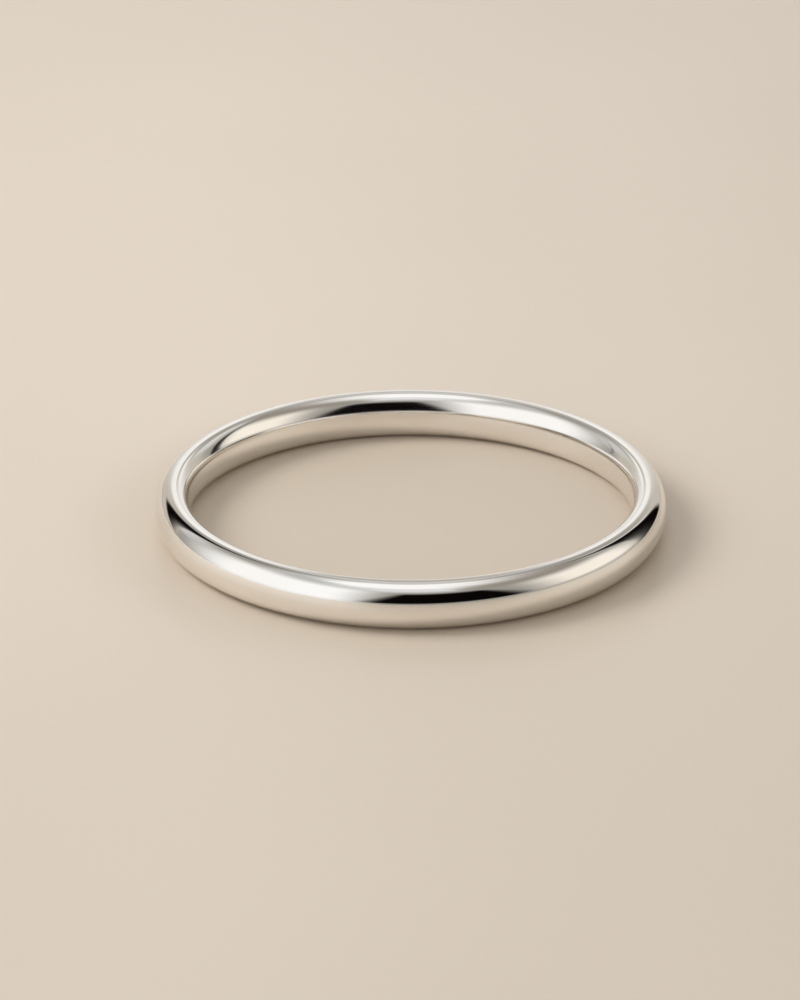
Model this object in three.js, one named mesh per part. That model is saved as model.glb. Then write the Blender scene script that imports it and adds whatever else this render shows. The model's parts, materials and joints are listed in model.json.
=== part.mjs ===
// A plain stacking ring: one closed band of solid silver with an oval section.
//
// Units are millimetres. +Z is the finger's axis, and the origin is the centre of the underside,
// so the ring lies flat on the plane z = 0 as it would on a table.
//
// The section is an upright oval. Its outer side is bowed a little more than its inner side, which
// is eased for the finger, and narrow flat lands above and below let one ring sit square on the next.

import * as THREE from 'three';

// Driving dimensions
const INSIDE_DIAMETER = 17.3;  // the finger hole, at its narrowest
const BAND_WIDTH = 1.9;        // along the finger
const LAND_WIDTH = 0.1;        // narrow flat rim, above and below, where stacked rings touch
const OUTER_BOW = 0.7;         // how far the outer side stands out from the lands
const INNER_BOW = 0.6;         // how far the inner side stands in from the lands

// How finely the round surfaces are faceted
const STEPS_AROUND_RING = 96;
const STEPS_PER_SIDE = 12;     // along one bowed side of the section, from land to land

const INNER_LAND_RADIUS = INSIDE_DIAMETER / 2 + INNER_BOW;
const OUTER_LAND_RADIUS = INNER_LAND_RADIUS + LAND_WIDTH;
const HALF_WIDTH = BAND_WIDTH / 2;

// One bowed side of the section: half an ellipse that meets both lands without a corner.
// A positive bow stands out from the land's edge and a negative one stands in. `climb` is +1 when
// the points run from the lower land to the upper one, and -1 when they run back down.
function bowedSide(landRadius, bow, climb) {
  const points = [];
  for (let step = 0; step <= STEPS_PER_SIDE; step += 1) {
    const angle = climb * Math.PI * (step / STEPS_PER_SIDE - 0.5);
    const radius = landRadius + bow * Math.cos(angle);
    const height = HALF_WIDTH + HALF_WIDTH * Math.sin(angle);
    points.push(new THREE.Vector2(radius, height));
  }
  return points;
}

// The whole section: up the outer side, down the inner side, and back to the first point.
// The straight steps between the two sides are the lands.
function sectionOutline() {
  const outline = [
    ...bowedSide(OUTER_LAND_RADIUS, OUTER_BOW, +1),
    ...bowedSide(INNER_LAND_RADIUS, -INNER_BOW, -1),
  ];
  outline.push(outline[0].clone());
  return outline;
}

const polishedSilver = new THREE.MeshStandardMaterial({
  name: 'polished_silver',
  color: 0xf3f0ea,
  roughness: 0.05,
  metalness: 1.0,
});

function makeBand() {
  const geometry = new THREE.LatheGeometry(sectionOutline(), STEPS_AROUND_RING);
  const band = new THREE.Mesh(geometry, polishedSilver);
  band.name = 'band';
  band.rotation.x = Math.PI / 2;  // a lathe turns about +Y, and the finger's axis is +Z
  return band;
}

const ring = new THREE.Group();
ring.name = 'stackable_ring';
ring.add(makeBand());

export default ring;
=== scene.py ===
"""A plain stacking ring in mirror-polished silver, lying on a pale floor inside a small light tent.

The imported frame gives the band's outer size and the plane that it lies on. The band is swept here
as one fine, smooth skin over the same oval section, and finished as hand-polished silver. What a
mirror finish looks like is what it reflects, so the tent's softboxes, cards and flags matter as
much as the metal.

Lengths are metres and angles are degrees. Azimuth 0 is towards the camera and grows to the right
as the camera sees it; elevation is measured up from the floor.
"""

import json
import logging
import math
from dataclasses import dataclass, field
from enum import Enum
from typing import Any

import bpy
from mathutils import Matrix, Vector

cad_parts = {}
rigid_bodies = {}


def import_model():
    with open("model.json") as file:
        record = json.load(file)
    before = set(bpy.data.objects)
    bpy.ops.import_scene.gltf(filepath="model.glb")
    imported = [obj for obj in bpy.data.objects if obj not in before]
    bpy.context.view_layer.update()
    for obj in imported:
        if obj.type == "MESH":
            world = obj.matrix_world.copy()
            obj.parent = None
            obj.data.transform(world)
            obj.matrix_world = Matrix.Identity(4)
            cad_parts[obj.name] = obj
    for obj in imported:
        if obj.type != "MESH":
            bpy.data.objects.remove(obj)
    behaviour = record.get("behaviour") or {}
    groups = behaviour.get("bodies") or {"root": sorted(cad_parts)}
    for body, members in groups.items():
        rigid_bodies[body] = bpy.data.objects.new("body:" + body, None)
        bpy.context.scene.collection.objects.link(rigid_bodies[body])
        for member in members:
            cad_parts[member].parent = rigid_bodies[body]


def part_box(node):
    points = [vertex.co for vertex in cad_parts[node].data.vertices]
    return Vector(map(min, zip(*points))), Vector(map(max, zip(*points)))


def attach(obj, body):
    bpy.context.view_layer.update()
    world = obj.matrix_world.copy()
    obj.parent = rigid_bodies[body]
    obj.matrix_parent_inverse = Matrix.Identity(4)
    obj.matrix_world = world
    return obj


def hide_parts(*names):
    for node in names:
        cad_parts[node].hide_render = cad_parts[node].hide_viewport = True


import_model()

MM = 0.001
MICRON = 1e-6
BAND_NODE = "band"
BODY = "root"

Colour = tuple[float, float, float]
Fades = tuple[float, float, float, float]
Socket = bpy.types.NodeSocket
log = logging.getLogger("stackable_ring")


def direction(azimuth: float, elevation: float) -> Vector:
    """Gives the unit vector that points from the ring towards a place in the tent.

    Args:
        azimuth: Degrees round the finger's axis, 0 towards the camera.
        elevation: Degrees above the floor.

    Returns:
        A vector of length one.
    """
    turn, rise = math.radians(azimuth), math.radians(elevation)
    flat = math.cos(rise)
    return Vector((math.sin(turn) * flat, -math.cos(turn) * flat, math.sin(rise)))


class Sum(Enum):
    """The sums that a Math node is asked for here, by Blender's own names."""

    ADD = "ADD"
    SUBTRACT = "SUBTRACT"
    MULTIPLY = "MULTIPLY"
    DIVIDE = "DIVIDE"
    MULTIPLY_ADD = "MULTIPLY_ADD"
    MODULO = "MODULO"
    ROUND = "ROUND"
    ABSOLUTE = "ABSOLUTE"
    SINE = "SINE"
    COSINE = "COSINE"
    GREATER_THAN = "GREATER_THAN"


class Wiring:
    """Adds nodes to one tree, geometry or shader, and joins them in a line or two each."""

    def __init__(self, tree: bpy.types.NodeTree) -> None:
        """Keeps the tree that the nodes go in."""
        self.tree = tree

    def feed(self, socket: Socket, source: Any) -> None:
        """Joins a socket to another, or sets its own value when the source is a plain one.

        Args:
            socket: The input to feed.
            source: An output socket, or a value of the kind that the input holds.
        """
        if isinstance(source, Socket):
            self.tree.links.new(source, socket)
        else:
            socket.default_value = source

    def add(self, kind: str, inputs: dict[Any, Any] | None = None, **settings: Any) -> bpy.types.Node:
        """Adds one node.

        Args:
            kind: Blender's name for the type of node.
            inputs: What goes into its sockets, by socket name or number.
            **settings: Properties of the node itself.

        Returns:
            The new node.
        """
        node = self.tree.nodes.new(kind)
        for name, value in settings.items():
            setattr(node, name, value)
        for key, source in (inputs or {}).items():
            self.feed(node.inputs[key], source)
        return node

    def sum(self, what: Sum, *terms: Any) -> Socket:
        """Does one sum.

        Args:
            what: The sum to do.
            *terms: Its sockets or plain numbers, in order.

        Returns:
            The result's socket.
        """
        node = self.add("ShaderNodeMath", operation=what.value)
        for socket, term in zip(node.inputs, terms):
            self.feed(socket, term)
        return node.outputs[0]

    def ramp(
        self, value: Socket, low: float, high: float, to: tuple[float, float] = (0.0, 1.0)
    ) -> Socket:
        """Turns a value smoothly from to[0] to to[1] as it goes from low to high.

        Args:
            value: The socket to read.
            low: Where the turn starts.
            high: Where the turn ends.
            to: What comes out before and after.

        Returns:
            The result's socket.
        """
        inputs = {"Value": value, "From Min": low, "From Max": high, "To Min": to[0], "To Max": to[1]}
        return self.add("ShaderNodeMapRange", inputs, interpolation_type="SMOOTHSTEP").outputs["Result"]

    def separate(self, vector: Socket) -> Any:
        """Takes a vector apart, and gives the outputs X, Y and Z."""
        return self.add("ShaderNodeSeparateXYZ", {0: vector}).outputs

    def combine(self, x: Any, y: Any, z: Any) -> Socket:
        """Puts three sockets or numbers together as a vector."""
        return self.add("ShaderNodeCombineXYZ", {"X": x, "Y": y, "Z": z}).outputs[0]

    def noise(self, vector: Socket, scale: float, detail: float, roughness: float = 0.5) -> Socket:
        """Adds plain cloudy noise.

        Args:
            vector: The socket of the place to read.
            scale: About how many clouds there are to a metre.
            detail: How many finer layers are added.
            roughness: How strong the finer layers are.

        Returns:
            The socket of its value, 0 to 1.
        """
        inputs = {"Vector": vector, "Scale": scale, "Detail": detail, "Roughness": roughness}
        return self.add("ShaderNodeTexNoise", inputs).outputs[0]

    def blend(self, share: Any, first: Any, second: Any) -> Socket:
        """Blends two colours, and gives the second where the share is 1.

        Args:
            share: The socket of the second colour's share.
            first: A colour, or the socket of one.
            second: A colour, or the socket of one.

        Returns:
            The socket of the blend.
        """
        inputs: dict[Any, Any] = {"Factor": share}
        for name, colour in (("A", first), ("B", second)):
            inputs[name] = (*colour, 1.0) if isinstance(colour, tuple) else colour
        return self.add("ShaderNodeMix", inputs, data_type="RGBA").outputs["Result"]

    def axis_distance(self, spot: Socket) -> Socket:
        """Works out how far a place is from the finger's axis, for a shader tree.

        Args:
            spot: The socket of the place.

        Returns:
            The socket of its distance.
        """
        flat = self.add("ShaderNodeVectorMath", {0: spot, 1: (1.0, 1.0, 0.0)}, operation="MULTIPLY")
        length = self.add("ShaderNodeVectorMath", {0: flat.outputs[0]}, operation="LENGTH")
        return length.outputs["Value"]


@dataclass
class BandSizes:
    """The driving sizes of the band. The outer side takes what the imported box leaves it."""

    inside_diameter: float = 17.3 * MM
    land_width: float = 0.1 * MM
    inner_bow: float = 0.6 * MM
    steps_around: int = 640
    steps_per_side: int = 56
    low: Vector = field(default_factory=lambda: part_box(BAND_NODE)[0])
    high: Vector = field(default_factory=lambda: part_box(BAND_NODE)[1])

    @property
    def width(self) -> float:
        """The band's width along the finger."""
        return self.high.z - self.low.z

    @property
    def inner_land_radius(self) -> float:
        """Where the inner side ends and the flat lands begin."""
        return self.inside_diameter / 2 + self.inner_bow

    @property
    def outer_land_radius(self) -> float:
        """Where the flat lands end and the outer side begins."""
        return self.inner_land_radius + self.land_width

    @property
    def outer_bow(self) -> float:
        """How far the outer side stands out from the lands."""
        return self.high.x - self.outer_land_radius

    @property
    def centre(self) -> Vector:
        """The middle of the finger hole, halfway up the band."""
        return (self.low + self.high) / 2


class BandSweep:
    """The geometry node tree that sweeps the oval section round the finger.

    A flat grid is the band unrolled. Its columns go round the ring and its rows go round the
    section: up the outer side, across the upper land, down the inner side, across the lower land.
    """

    INPUTS = (
        "Inner Land Radius",
        "Outer Land Radius",
        "Inner Bow",
        "Outer Bow",
        "Width",
    )
    COUNTS = ("Steps Around", "Steps Per Side")
    WELD = 1 * MICRON

    def __init__(self) -> None:
        """Builds the tree and keeps its input identifiers."""
        self.tree = bpy.data.node_groups.new("band_sweep", "GeometryNodeTree")
        self.tree.is_modifier = True
        interface = self.tree.interface
        interface.new_socket("Geometry", in_out="OUTPUT", socket_type="NodeSocketGeometry")
        self.ids: dict[str, str] = {}
        for name in self.INPUTS:
            socket = interface.new_socket(name, in_out="INPUT", socket_type="NodeSocketFloat")
            socket.subtype = "DISTANCE"
            self.ids[name] = socket.identifier
        for name in self.COUNTS:
            socket = interface.new_socket(name, in_out="INPUT", socket_type="NodeSocketInt")
            self.ids[name] = socket.identifier
        socket = interface.new_socket("Finish", in_out="INPUT", socket_type="NodeSocketMaterial")
        self.ids["Finish"] = socket.identifier
        self.wire = Wiring(self.tree)
        self._build()

    def _build(self) -> None:
        """Lays out the nodes, from the unrolled grid, which is 1 wide and centred, to the skin."""
        wire = self.wire
        given = wire.add("NodeGroupInput").outputs
        rows = self._rows(given["Steps Per Side"])
        grid = wire.add(
            "GeometryNodeMeshGrid",
            {
                "Size X": 1.0,
                "Size Y": 1.0,
                "Vertices X": wire.sum(Sum.ADD, given["Steps Around"], 1),
                "Vertices Y": wire.sum(Sum.ADD, rows, 1),
            },
        )
        place = wire.separate(wire.add("GeometryNodeInputPosition").outputs[0])
        along = wire.sum(Sum.ADD, place["X"], 0.5)
        across = wire.sum(Sum.ADD, place["Y"], 0.5)
        radius, height = self._section(given, rows, across)
        turn = wire.sum(Sum.MULTIPLY, along, math.tau)
        spot = wire.combine(
            wire.sum(Sum.MULTIPLY, radius, wire.sum(Sum.COSINE, turn)),
            wire.sum(Sum.MULTIPLY, radius, wire.sum(Sum.SINE, turn)),
            height,
        )
        shape = grid.outputs["Mesh"]
        for kind, inputs in (
            ("GeometryNodeSetPosition", {"Position": spot}),
            ("GeometryNodeMergeByDistance", {"Distance": self.WELD}),
            ("GeometryNodeSetShadeSmooth", {}),
            ("GeometryNodeRealizeInstances", {}),
            ("GeometryNodeSetMaterial", {"Material": given["Finish"]}),
        ):
            shape = wire.add(kind, {"Geometry": shape} | inputs).outputs[0]
        wire.add("NodeGroupOutput", {"Geometry": shape})

    def _rows(self, steps: Socket) -> Socket:
        """Counts the rows of faces round the section: both sides and one for each land."""
        return self.wire.sum(Sum.MULTIPLY_ADD, steps, 2, 2)

    def _section(self, given: Any, rows: Socket, across: Socket) -> tuple[Socket, Socket]:
        """Works out where a row of the grid sits on the oval section.

        Args:
            given: The tree's own inputs.
            rows: The number of rows of faces.
            across: How far across the grid the vertex is, 0 to 1.

        Returns:
            The sockets of its distance from the finger's axis and its height.
        """
        wire = self.wire
        steps = given["Steps Per Side"]
        row = wire.sum(Sum.ROUND, wire.sum(Sum.MULTIPLY, across, rows))
        row = wire.sum(Sum.MODULO, row, rows)
        inner = wire.sum(Sum.GREATER_THAN, row, wire.sum(Sum.ADD, steps, 0.5))
        step = wire.sum(Sum.SUBTRACT, row, wire.sum(Sum.MULTIPLY, inner, wire.sum(Sum.ADD, steps, 1)))
        half_turns = wire.sum(Sum.ADD, wire.sum(Sum.DIVIDE, step, steps), inner)
        angle = wire.sum(Sum.MULTIPLY, wire.sum(Sum.SUBTRACT, half_turns, 0.5), math.pi)
        land = self._pick(inner, given["Outer Land Radius"], given["Inner Land Radius"])
        bow = self._pick(inner, given["Outer Bow"], given["Inner Bow"])
        radius = wire.sum(Sum.MULTIPLY_ADD, bow, wire.sum(Sum.COSINE, angle), land)
        half_width = wire.sum(Sum.MULTIPLY, given["Width"], 0.5)
        height = wire.sum(Sum.MULTIPLY_ADD, half_width, wire.sum(Sum.SINE, angle), half_width)
        return radius, height

    def _pick(self, inner: Socket, outside: Socket, inside: Socket) -> Socket:
        """Takes one value on the outer side of the section and another on the inner side."""
        gap = self.wire.sum(Sum.SUBTRACT, inside, outside)
        return self.wire.sum(Sum.MULTIPLY_ADD, inner, gap, outside)


@dataclass(frozen=True)
class PolishedSilver:
    """Silver polished to a mirror by hand, with the faint marks that a wheel and wear leave."""

    name: str = "hand_polished_silver"
    bright: Colour = (0.955, 0.935, 0.905)
    warm: Colour = (0.935, 0.910, 0.872)
    tone_turn: tuple[float, float] = (0.35, 0.65)
    finest_roughness: float = 0.04
    coarsest_roughness: float = 0.0675
    line_turn: tuple[float, float] = (0.35, 0.75)
    rub_roughness: float = 0.08
    rub_patch: float = 0.8 * MM
    rub_turn: tuple[float, float] = (0.4, 0.7)
    rub_heights: tuple[float, float] = (0.97, 1.0)
    inside_roughness: float = 0.05
    ripple_length: float = 2.6 * MM
    ripple_height: float = 2.2 * MICRON
    line_width: float = 0.05 * MM
    line_height: float = 0.10 * MICRON
    line_breaks: float = 2.0

    def material(self, sizes: BandSizes) -> bpy.types.Material:
        """Makes the finish.

        Args:
            sizes: The band that it goes on, for the places of its lands.

        Returns:
            The material.
        """
        material = bpy.data.materials.new(self.name)
        material.use_nodes = True
        tree = material.node_tree
        tree.nodes.clear()
        wire = Wiring(tree)
        spot = wire.add("ShaderNodeTexCoord").outputs["Object"]
        ripple = wire.noise(spot, 1 / self.ripple_length, detail=1.0, roughness=0.4)
        lines = self._polish_lines(wire, spot, sizes)
        swell = wire.add("ShaderNodeBump", {"Distance": self.ripple_height, "Height": ripple})
        marks = wire.add(
            "ShaderNodeBump",
            {"Distance": self.line_height, "Height": lines, "Normal": swell.outputs[0]},
        )
        shader = wire.add(
            "ShaderNodeBsdfPrincipled",
            {
                "Base Color": wire.blend(wire.ramp(ripple, *self.tone_turn), self.bright, self.warm),
                "Metallic": 1.0,
                "Roughness": self._roughness(wire, spot, lines, sizes),
                "Normal": marks.outputs[0],
            },
        )
        wire.add("ShaderNodeOutputMaterial", {"Surface": shader.outputs[0]})
        return material

    def _polish_lines(self, wire: Wiring, spot: Socket, sizes: BandSizes) -> Socket:
        """Makes hair-fine lines that run round the band in long broken arcs.

        The noise is read by the distance from the finger's axis and the height, closely, and by
        the place round the ring, slowly, so that every line follows the band and none has a seam.
        `line_breaks` is about how often a line breaks in each radius of the band.

        Args:
            wire: The material's wiring.
            spot: The socket of the place on the band.
            sizes: The band's sizes.

        Returns:
            The socket of the lines' height, 0 to 1.
        """
        part = wire.separate(spot)
        fine = 1 / self.line_width
        slow = self.line_breaks / sizes.high.x
        place = wire.combine(
            wire.sum(Sum.MULTIPLY, wire.axis_distance(spot), fine),
            wire.sum(Sum.MULTIPLY, part["Z"], fine),
            wire.sum(Sum.MULTIPLY, part["X"], slow),
        )
        noise = wire.add(
            "ShaderNodeTexNoise",
            {
                "Vector": place,
                "W": wire.sum(Sum.MULTIPLY, part["Y"], slow),
                "Scale": 1.0,
                "Detail": 2.0,
            },
            noise_dimensions="4D",
        )
        return noise.outputs[0]

    def _roughness(self, wire: Wiring, spot: Socket, lines: Socket, sizes: BandSizes) -> Socket:
        """Adds up the roughness of the polish, of the rubbed rims and of the inner wall.

        Args:
            wire: The material's wiring.
            spot: The socket of the place on the band.
            lines: The socket of the polishing lines' height.
            sizes: The band's sizes.

        Returns:
            The socket of the roughness.
        """
        polish = wire.ramp(lines, *self.line_turn, (self.finest_roughness, self.coarsest_roughness))
        rubbed = self._rubbed(wire, spot, sizes)
        inside = self._inside(wire, spot, sizes)
        outer = wire.sum(Sum.MULTIPLY_ADD, rubbed, self.rub_roughness, polish)
        return wire.sum(Sum.MULTIPLY_ADD, inside, self.inside_roughness, outer)

    def _inside(self, wire: Wiring, spot: Socket, sizes: BandSizes) -> Socket:
        """Tells the inner wall, which a polishing wheel reaches less well, from the rest, 0 to 1."""
        rim = sizes.inner_land_radius
        return wire.ramp(wire.axis_distance(spot), rim - sizes.inner_bow / 2, rim, (1.0, 0.0))

    def _rubbed(self, wire: Wiring, spot: Socket, sizes: BandSizes) -> Socket:
        """Tells how much a place has been rubbed by the rings above and below it.

        Args:
            wire: The material's wiring.
            spot: The socket of the place on the band.
            sizes: The band's sizes.

        Returns:
            The socket of the wear, 0 to 1.
        """
        height = wire.separate(spot)["Z"]
        from_middle = wire.sum(Sum.ABSOLUTE, wire.sum(Sum.SUBTRACT, height, sizes.centre.z))
        starts, ends = (sizes.width / 2 * share for share in self.rub_heights)
        edge = wire.ramp(from_middle, starts, ends)
        patchy = wire.ramp(wire.noise(spot, 1 / self.rub_patch, detail=3.0), *self.rub_turn)
        return wire.sum(Sum.MULTIPLY, edge, patchy)


@dataclass
class Band:
    """The ring itself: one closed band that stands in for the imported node."""

    sizes: BandSizes = field(default_factory=BandSizes)
    finish: PolishedSilver = field(default_factory=PolishedSilver)
    name: str = "polished_band"

    def build(self) -> bpy.types.Object:
        """Sweeps the band, dresses it and gives it its place in the frame.

        Returns:
            The finished piece.
        """
        piece = self._mesh()
        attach(piece, BODY)
        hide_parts(BAND_NODE)
        return piece

    def _mesh(self) -> bpy.types.Object:
        """Runs the sweep on a carrier object and keeps the result as a plain mesh.

        Returns:
            The carrier, with the swept band as its own mesh and no modifier.
        """
        sweep = BandSweep()
        sizes = self.sizes
        values = {
            "Inner Land Radius": sizes.inner_land_radius,
            "Outer Land Radius": sizes.outer_land_radius,
            "Inner Bow": sizes.inner_bow,
            "Outer Bow": sizes.outer_bow,
            "Width": sizes.width,
            "Steps Around": sizes.steps_around,
            "Steps Per Side": sizes.steps_per_side,
            "Finish": self.finish.material(sizes),
        }
        carrier = bpy.data.objects.new(self.name, bpy.data.meshes.new("carrier"))
        bpy.context.scene.collection.objects.link(carrier)
        modifier = carrier.modifiers.new("sweep", "NODES")
        modifier.node_group = sweep.tree
        for label, value in values.items():
            modifier[sweep.ids[label]] = value
        evaluated = carrier.evaluated_get(bpy.context.evaluated_depsgraph_get())
        swept = bpy.data.meshes.new_from_object(evaluated)
        carrier.modifiers.remove(modifier)
        carrier.data = swept
        swept.name = self.name
        return carrier


class TentSheet:
    """One sheet of the light tent, with edges that fade: a softbox or card if bright, a flag if black.

    A sheet is a grid of points, and its UV map gives each point's share of the way over and up.
    """

    COLUMNS = 40
    ROWS = 16
    LEAST_SHARE = 1e-4

    name: str
    light: Colour
    lights_floor: bool

    def build(self) -> bpy.types.Object:
        """Makes the sheet, hidden from the camera but not from the silver.

        Returns:
            The sheet.
        """
        places = [
            (column / self.COLUMNS, row / self.ROWS)
            for row in range(self.ROWS + 1)
            for column in range(self.COLUMNS + 1)
        ]
        row_length = self.COLUMNS + 1
        starts = (
            row * row_length + column for row in range(self.ROWS) for column in range(self.COLUMNS)
        )
        faces = [(start, start + 1, start + 1 + row_length, start + row_length) for start in starts]
        mesh = bpy.data.meshes.new(self.name)
        mesh.from_pydata([self.place(over, up) for over, up in places], [], faces)
        layer = mesh.uv_layers.new(name="sheet")
        for loop in mesh.loops:
            layer.data[loop.index].uv = places[loop.vertex_index]
        mesh.materials.append(self._material())
        sheet = bpy.data.objects.new(self.name, mesh)
        bpy.context.scene.collection.objects.link(sheet)
        sheet.visible_camera = False
        sheet.visible_shadow = False
        sheet.visible_diffuse = self.lights_floor
        return sheet

    def place(self, over: float, up: float) -> Vector:
        """Gives the point a share of the way over and up the sheet."""
        raise NotImplementedError

    def edge_shares(self) -> Fades:
        """Gives the shares of the sheet that its left, right, lower and upper edges fade over."""
        raise NotImplementedError

    def _material(self) -> bpy.types.Material:
        """Makes a glow, or a plain black, that fades out towards the sheet's edges.

        Returns:
            The material.
        """
        material = bpy.data.materials.new(self.name)
        material.use_nodes = True
        material.node_tree.nodes.clear()
        wire = Wiring(material.node_tree)
        part = wire.separate(wire.add("ShaderNodeTexCoord").outputs["UV"])
        from_left, from_low = part["X"], part["Y"]
        from_right = wire.sum(Sum.SUBTRACT, 1.0, from_left)
        from_high = wire.sum(Sum.SUBTRACT, 1.0, from_low)
        cover: Any = 1.0
        for share, reach in zip((from_left, from_right, from_low, from_high), self.edge_shares()):
            edge = wire.ramp(share, 0.0, max(reach, self.LEAST_SHARE))
            cover = wire.sum(Sum.MULTIPLY, cover, edge)
        glow = wire.add("ShaderNodeEmission", {"Color": (*self.light, 1.0), "Strength": 1.0})
        clear = wire.add("ShaderNodeBsdfTransparent")
        mixed = wire.add("ShaderNodeMixShader", {0: cover, 1: clear.outputs[0], 2: glow.outputs[0]})
        wire.add("ShaderNodeOutputMaterial", {"Surface": mixed.outputs[0]})
        return material


@dataclass(frozen=True)
class Panel(TentSheet):
    """A sheet that is a patch of a dome round the ring, between two elevations.

    Its side edges may slant, so each end has its own azimuths. Its edges fade over `fade`
    degrees: left, right, below, above.
    """

    name: str
    low: float
    high: float
    low_sides: tuple[float, float]
    high_sides: tuple[float, float]
    light: Colour
    fade: Fades
    distance: float
    lights_floor: bool = True

    def place(self, over: float, up: float) -> Vector:
        """Gives the point a share of the way over and up the patch.

        Args:
            over: The share of the way from its left side to its right side.
            up: The share of the way from its lower edge to its upper edge.

        Returns:
            The point.
        """
        left = self.low_sides[0] + (self.high_sides[0] - self.low_sides[0]) * up
        right = self.low_sides[1] + (self.high_sides[1] - self.low_sides[1]) * up
        elevation = self.low + (self.high - self.low) * up
        return direction(left + (right - left) * over, elevation) * self.distance

    def edge_shares(self) -> Fades:
        """Turns the fades from degrees into shares of the patch's mean width and its height.

        Returns:
            The shares for the left, right, lower and upper edges.
        """
        bottom_width = self.low_sides[1] - self.low_sides[0]
        top_width = self.high_sides[1] - self.high_sides[0]
        width, height = (bottom_width + top_width) / 2, self.high - self.low
        left, right, below, above = self.fade
        return left / width, right / width, below / height, above / height


@dataclass(frozen=True)
class StandingCard(TentSheet):
    """A card on edge that starts near the ring and runs away from it, so it narrows with distance.

    The inner wall of the far side of the band sees it nearly edge-on, as a small dark mark, and
    the near side sees its face. `lean` is how far its top stands to the side of its foot.
    """

    name: str
    near_azimuth: float
    near_distance: float
    heading: float
    length: float
    foot: float
    height: float
    lean: float
    fade: Fades
    light: Colour
    lights_floor: bool = False

    def place(self, over: float, up: float) -> Vector:
        """Gives the point a share of the way along and up the card.

        Args:
            over: The share of the way from its near end to its far end.
            up: The share of the way from its foot to its top.

        Returns:
            The point.
        """
        start = direction(self.near_azimuth, 0) * self.near_distance + Vector((0, 0, self.foot))
        away = direction(self.heading, 0)
        sideways = Vector((0, 0, 1)).cross(away)
        rise = Vector((0, 0, self.height)) + sideways * self.lean
        return start + away * (self.length * over) + rise * up

    def edge_shares(self) -> Fades:
        """Gives the shares that its near, far, lower and upper edges fade over."""
        return self.fade


@dataclass(frozen=True)
class KeyLight:
    """The lamp that lights the floor and throws the ring's soft shadow. The silver doesn't show it."""

    azimuth: float = -98
    elevation: float = 44
    distance: float = 170 * MM
    width: float = 90 * MM
    power: float = 0.13
    colour: Colour = (1.0, 0.97, 0.93)

    def build(self) -> bpy.types.Object:
        """Places the lamp and turns it towards the ring.

        Returns:
            The lamp.
        """
        data = bpy.data.lights.new("key_light", "AREA")
        data.shape = "DISK"
        data.size = self.width
        data.energy = self.power
        data.color = self.colour
        lamp = bpy.data.objects.new("key_light", data)
        bpy.context.scene.collection.objects.link(lamp)
        towards = direction(self.azimuth, self.elevation)
        lamp.location = towards * self.distance
        lamp.rotation_mode = "QUATERNION"
        lamp.rotation_quaternion = towards.to_track_quat("Z", "Y")
        lamp.visible_glossy = False
        lamp.visible_camera = False
        return lamp


WHITE: Colour = (1.02, 1.02, 1.02)
COOL_GREY: Colour = (0.75, 0.76, 0.78)
CREAM: Colour = (0.98, 0.92, 0.83)
BEIGE: Colour = (0.55, 0.51, 0.45)
PAPER: Colour = (0.84, 0.83, 0.81)
PALE_PAPER: Colour = (0.93, 0.92, 0.90)
SHADED_PAPER: Colour = (0.68, 0.67, 0.64)
DIM: Colour = (0.60, 0.59, 0.58)
PALE_CLOTH: Colour = (0.52, 0.52, 0.51)
WARM_CLOTH: Colour = (0.31, 0.28, 0.24)
BLACK: Colour = (0.003, 0.002, 0.002)


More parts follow.
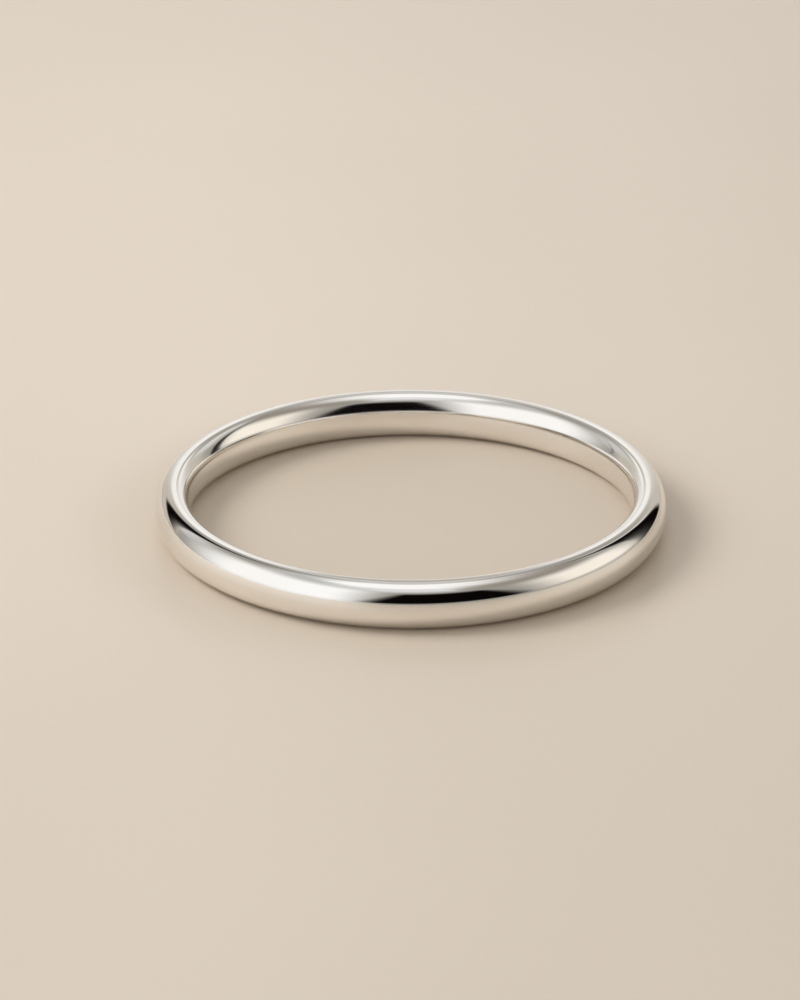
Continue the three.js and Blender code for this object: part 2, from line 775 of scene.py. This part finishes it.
@dataclass
class Studio:
    """The pale floor, the lamp and the light tent over them."""

    sizes: BandSizes
    key: KeyLight = field(default_factory=KeyLight)
    floor_colour: Colour = (0.79, 0.70, 0.60)
    # Painted shade: a darker, warmer floor colour that fills the inside of the ring and fades out a few
    # millimetres round it.
    painted_shade_floor: Colour = (0.70, 0.605, 0.50)
    painted_shade_reach: float = 5.0 * MM
    floor_roughness: float = 0.38
    ambient: Colour = (0.34, 0.325, 0.30)
    cloud_scale: float = 22.0
    cloud_turn: tuple[float, float] = (0.3, 0.7)
    cloud_shade: float = 0.96
    floor_drop: float = 5 * MICRON
    floor_radius: float = 0.475
    floor_step: int = 3

    # A panel's values are its name, its lower and upper elevations, its left and right azimuths
    # at the bottom and then at the top, its light, its fades and its distance. The last value is
    # False on a sheet that only the silver sees and that leaves the floor's light alone.
    SHEETS = (
        Panel("overhead_softbox", 53, 90, (-180, 180), (-180, 180), WHITE, (0, 0, 24, 0), 0.50),
        Panel("front_top_sheet", 44, 72, (-24, 33), (-60, 34), COOL_GREY, (26, 12, 17, 2), 0.49),
        Panel("back_top_sheet", 32, 72, (166, 194), (164, 196), DIM, (10, 10, 6, 6), 0.49),
        Panel("left_cloth", 57, 75, (-150, -50), (-150, -50), PALE_CLOTH, (22, 26, 5, 9), 0.495),
        Panel("right_cloth", 42, 86, (28, 152), (28, 152), WARM_CLOTH, (25, 25, 8, 34), 0.495),
        Panel("left_softbox", -24, 70, (-110, -13), (-150, -3), WHITE, (45, 30, 34, 28), 0.50),
        Panel("right_softbox", -2, 53, (49, 125), (43, 126), CREAM, (31, 24, 12, 23), 0.485),
        Panel("back_wall", -1, 38, (120, 242), (126, 240), BEIGE, (16, 16, 3, 18), 0.48),
        Panel("back_left_sheet", 14, 48, (-153, -108), (-153, -108), DIM, (7, 22, 10, 16), 0.475, False),
        Panel("back_right_sheet", 20, 54, (120, 153), (120, 153), SHADED_PAPER, (14, 7, 8, 10), 0.475, False),
        Panel("back_card", -1, 30, (144, 216), (150, 210), PAPER, (25, 30, 1, 14), 0.075, False),
        Panel("back_card_left", 12, 38, (183, 202), (183, 202), PALE_PAPER, (4, 12, 9, 10), 0.074, False),
        Panel("back_card_right", 12, 37, (158, 176), (158, 176), PALE_PAPER, (12, 4, 9, 10), 0.074, False),
        Panel("front_flag", 3, 48, (-28, 58), (-6, 37), BLACK, (10, 10, 3, 10), 0.23, False),
        StandingCard(
            "left_flag",
            near_azimuth=-137,
            near_distance=30 * MM,
            heading=-118,
            length=150 * MM,
            foot=7 * MM,
            height=62 * MM,
            lean=-17 * MM,
            fade=(0.05, 0.86, 0.06, 0.28),
            light=BLACK,
        ),
        StandingCard(
            "right_flag",
            near_azimuth=134,
            near_distance=36 * MM,
            heading=110,
            length=180 * MM,
            foot=0.0,
            height=66 * MM,
            lean=-3 * MM,
            fade=(0.03, 0.92, 0.04, 0.24),
            light=BLACK,
        ),
    )

    def build(self) -> None:
        """Sets the stage: the floor, the lamp, the tent's sheets and the faint light between them."""
        self._floor()
        self.key.build()
        for sheet in self.SHEETS:
            sheet.build()
        self._ambient()
        bpy.context.scene.view_settings.view_transform = "Standard"

    def _floor(self) -> None:
        """Lays a flat round floor that reaches almost to the foot of the softboxes."""
        centre = Vector((0, 0, self.sizes.low.z - self.floor_drop))
        turns = range(0, 360, self.floor_step)
        corners = [direction(turn, 0) * self.floor_radius + centre for turn in turns]
        mesh = bpy.data.meshes.new("floor")
        mesh.from_pydata(corners, [], [tuple(range(len(corners)))])
        floor = bpy.data.objects.new("floor", mesh)
        bpy.context.scene.collection.objects.link(floor)
        mesh.materials.append(self._floor_material())

    def _floor_material(self) -> bpy.types.Material:
        """Makes a pale paper with a slight sheen, a touch uneven in tone, with painted shade: darker and
        warmer inside the ring and close round it.

        Returns:
            The material.
        """
        material = bpy.data.materials.new("pale_floor")
        material.use_nodes = True
        material.node_tree.nodes.clear()
        wire = Wiring(material.node_tree)
        spot = wire.add("ShaderNodeTexCoord").outputs["Object"]
        cloud = wire.ramp(wire.noise(spot, self.cloud_scale, detail=2.0), *self.cloud_turn)
        shaded = tuple(channel * self.cloud_shade for channel in self.floor_colour)
        tone = wire.blend(cloud, self.floor_colour, shaded)
        radius = wire.axis_distance(spot)
        middle = (self.sizes.inner_land_radius + self.sizes.outer_land_radius) / 2
        # Painted shade: full from the band's middle radius inwards, fading out over the reach outside it.
        painted_shade_share = wire.ramp(radius, middle, middle + self.painted_shade_reach, (1.0, 0.0))
        shader = wire.add(
            "ShaderNodeBsdfPrincipled",
            {
                "Base Color": wire.blend(painted_shade_share, tone, self.painted_shade_floor),
                "Roughness": self.floor_roughness,
            },
        )
        wire.add("ShaderNodeOutputMaterial", {"Surface": shader.outputs[0]})
        return material

    def _ambient(self) -> None:
        """Adds the even, dim light of the tent's own cloth between the softboxes."""
        world = bpy.data.worlds.new("tent")
        world.use_nodes = True
        world.node_tree.nodes["Background"].inputs["Color"].default_value = (*self.ambient, 1.0)
        bpy.context.scene.world = world


@dataclass
class Viewpoint:
    """The camera: a long lens, a little above the ring."""

    target: Vector
    elevation: float = 23.84
    distance: float = 203.1 * MM
    lens: float = 185.8
    sensor: float = 36.0
    slide_left: float = 0.43 * MM
    slide_up: float = 0.16 * MM
    near_limit: float = 1 * MM
    far_limit: float = 10.0

    def build(self) -> bpy.types.Object:
        """Places the camera and aims it so that the ring sits a little right of the centre and low.

        Returns:
            The camera.
        """
        data = bpy.data.cameras.new("camera")
        data.sensor_width = self.sensor
        data.lens = self.lens
        data.clip_start = self.near_limit
        data.clip_end = self.far_limit
        camera = bpy.data.objects.new("camera", data)
        bpy.context.scene.collection.objects.link(camera)
        back = direction(0, self.elevation)
        right = Vector((1, 0, 0))
        up = back.cross(right)
        camera.location = self.target + back * self.distance
        aim = self.target - right * self.slide_left + up * self.slide_up
        camera.rotation_mode = "QUATERNION"
        camera.rotation_quaternion = (aim - camera.location).to_track_quat("-Z", "Y")
        bpy.context.scene.camera = camera
        return camera


def main() -> None:
    """Builds the camera, the ring and the studio, in that order."""
    logging.basicConfig(level=logging.INFO, format="%(name)s: %(message)s")
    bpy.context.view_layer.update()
    sizes = BandSizes()
    Viewpoint(target=sizes.centre).build()
    band = Band(sizes).build()
    log.info("%s: %d faces, rides on %s", band.name, len(band.data.polygons), BODY)
    Studio(sizes).build()


if __name__ == "__main__":
    main()
